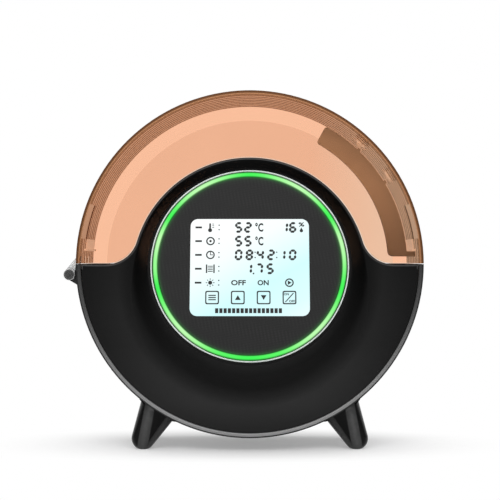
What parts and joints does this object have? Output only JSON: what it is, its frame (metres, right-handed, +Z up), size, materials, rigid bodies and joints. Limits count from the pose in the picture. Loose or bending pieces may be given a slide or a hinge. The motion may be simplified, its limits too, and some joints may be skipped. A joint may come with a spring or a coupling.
{
  "type": "filament dryer box",
  "caption": "Round filament dryer box: black lower drum on splayed feet, clear amber lid hinged at one side, tilted round touch screen with a lit ring, spool rollers, heaters and fan inside.",
  "frame": {"origin": "on the floor, at the middle of the box round the whole object", "axes": "+X to the right as seen from the front, +Y from the screen to the back, +Z up"},
  "size_m": [0.2703, 0.1312, 0.2704],
  "materials": {
    "black_shell": "fine satin texture",
    "amber_clear": "clear amber, polished",
    "brown_clear": "brown tinted, polished",
    "fascia_grey": "fine matt",
    "screen_glass": "lit screen behind smooth glass",
    "light_green": "frosted light guide",
    "trim_silver": "bright",
    "board_green": "solder mask",
    "part_black": "moulded",
    "spacer_brass": "turned",
    "steel": "bright",
    "silicone": "smooth silicone",
    "seal_rubber": "matt",
    "tray_metal": "fine texture",
    "heater_fins": "pressed",
    "bracket_black": "moulded",
    "roller_white": "smooth",
    "foot_gloss": "polished",
    "jack_black": "moulded",
    "fuse_body": "glazed"
  },
  "bodies": {
    "base": {"base_tub": "black_shell", "front_cover": "black_shell", "pod_back_cover": "black_shell", "screen_fascia": "fascia_grey", "lcd_panel": "screen_glass", "light_ring": "light_green", "trim_ring": "trim_silver", "led_board": "board_green", "main_board": "board_green", "humidity_sensor": "board_green", "board_parts": "part_black", "lcd_module": "part_black", "fan_frame": "part_black", "board_spacers": "spacer_brass", "hinge_pins": "steel", "roller_axle_left": "steel", "roller_axle_right": "steel", "axle_clips": "steel", "cover_screws": "steel", "back_cover_screws": "steel", "tray_screws": "steel", "foot_screws": "steel", "lid_gasket": "seal_rubber", "foot_pads": "seal_rubber", "floor_tray": "tray_metal", "heater_left": "heater_fins", "heater_right": "heater_fins", "roller_bracket_left": "bracket_black", "roller_bracket_right": "bracket_black", "foot_front_left": "foot_gloss", "foot_front_right": "foot_gloss", "foot_rear_left": "foot_gloss", "foot_rear_right": "foot_gloss", "dc_jack": "jack_black", "thermal_fuse": "fuse_body"},
    "lid": {"lid_shell": "amber_clear", "guide_plate": "brown_clear", "outlet_grommet_upper": "silicone", "outlet_grommet_lower": "silicone"},
    "outlet_plug": {"outlet_plug": "silicone"},
    "fan_rotor": {"fan_rotor": "part_black"},
    "roller_front_left": {"roller_front_left": "roller_white"},
    "roller_front_right": {"roller_front_right": "roller_white"},
    "roller_rear_left": {"roller_rear_left": "roller_white"},
    "roller_rear_right": {"roller_rear_right": "roller_white"}
  },
  "joints": [
    {"name": "lid_hinge", "type": "hinge", "parent": "base", "child": "lid", "pos_m": [-0.13095, 0.02163, 0.1325], "axis": [0, -1, 0], "range_deg": [0, 105]},
    {"name": "plug_pull", "type": "slide", "parent": "lid", "child": "outlet_plug", "axis": [0.6756, 0, 0.7373], "range_m": [0, 0.02]},
    {"name": "fan_spin", "type": "hinge", "parent": "base", "child": "fan_rotor", "pos_m": [0.00515, 0.02163, 0.0304], "axis": [0, 0, 1], "continuous": true},
    {"name": "roller_front_left_spin", "type": "hinge", "parent": "base", "child": "roller_front_left", "pos_m": [-0.04885, -0.00637, 0.04687], "axis": [0, 1, 0], "continuous": true},
    {"name": "roller_front_right_spin", "type": "hinge", "parent": "base", "child": "roller_front_right", "pos_m": [0.05915, -0.00637, 0.04687], "axis": [0, 1, 0], "continuous": true},
    {"name": "roller_rear_left_spin", "type": "hinge", "parent": "base", "child": "roller_rear_left", "pos_m": [-0.04885, 0.04963, 0.04687], "axis": [0, 1, 0], "continuous": true},
    {"name": "roller_rear_right_spin", "type": "hinge", "parent": "base", "child": "roller_rear_right", "pos_m": [0.05915, 0.04963, 0.04687], "axis": [0, 1, 0], "continuous": true}
  ]
}
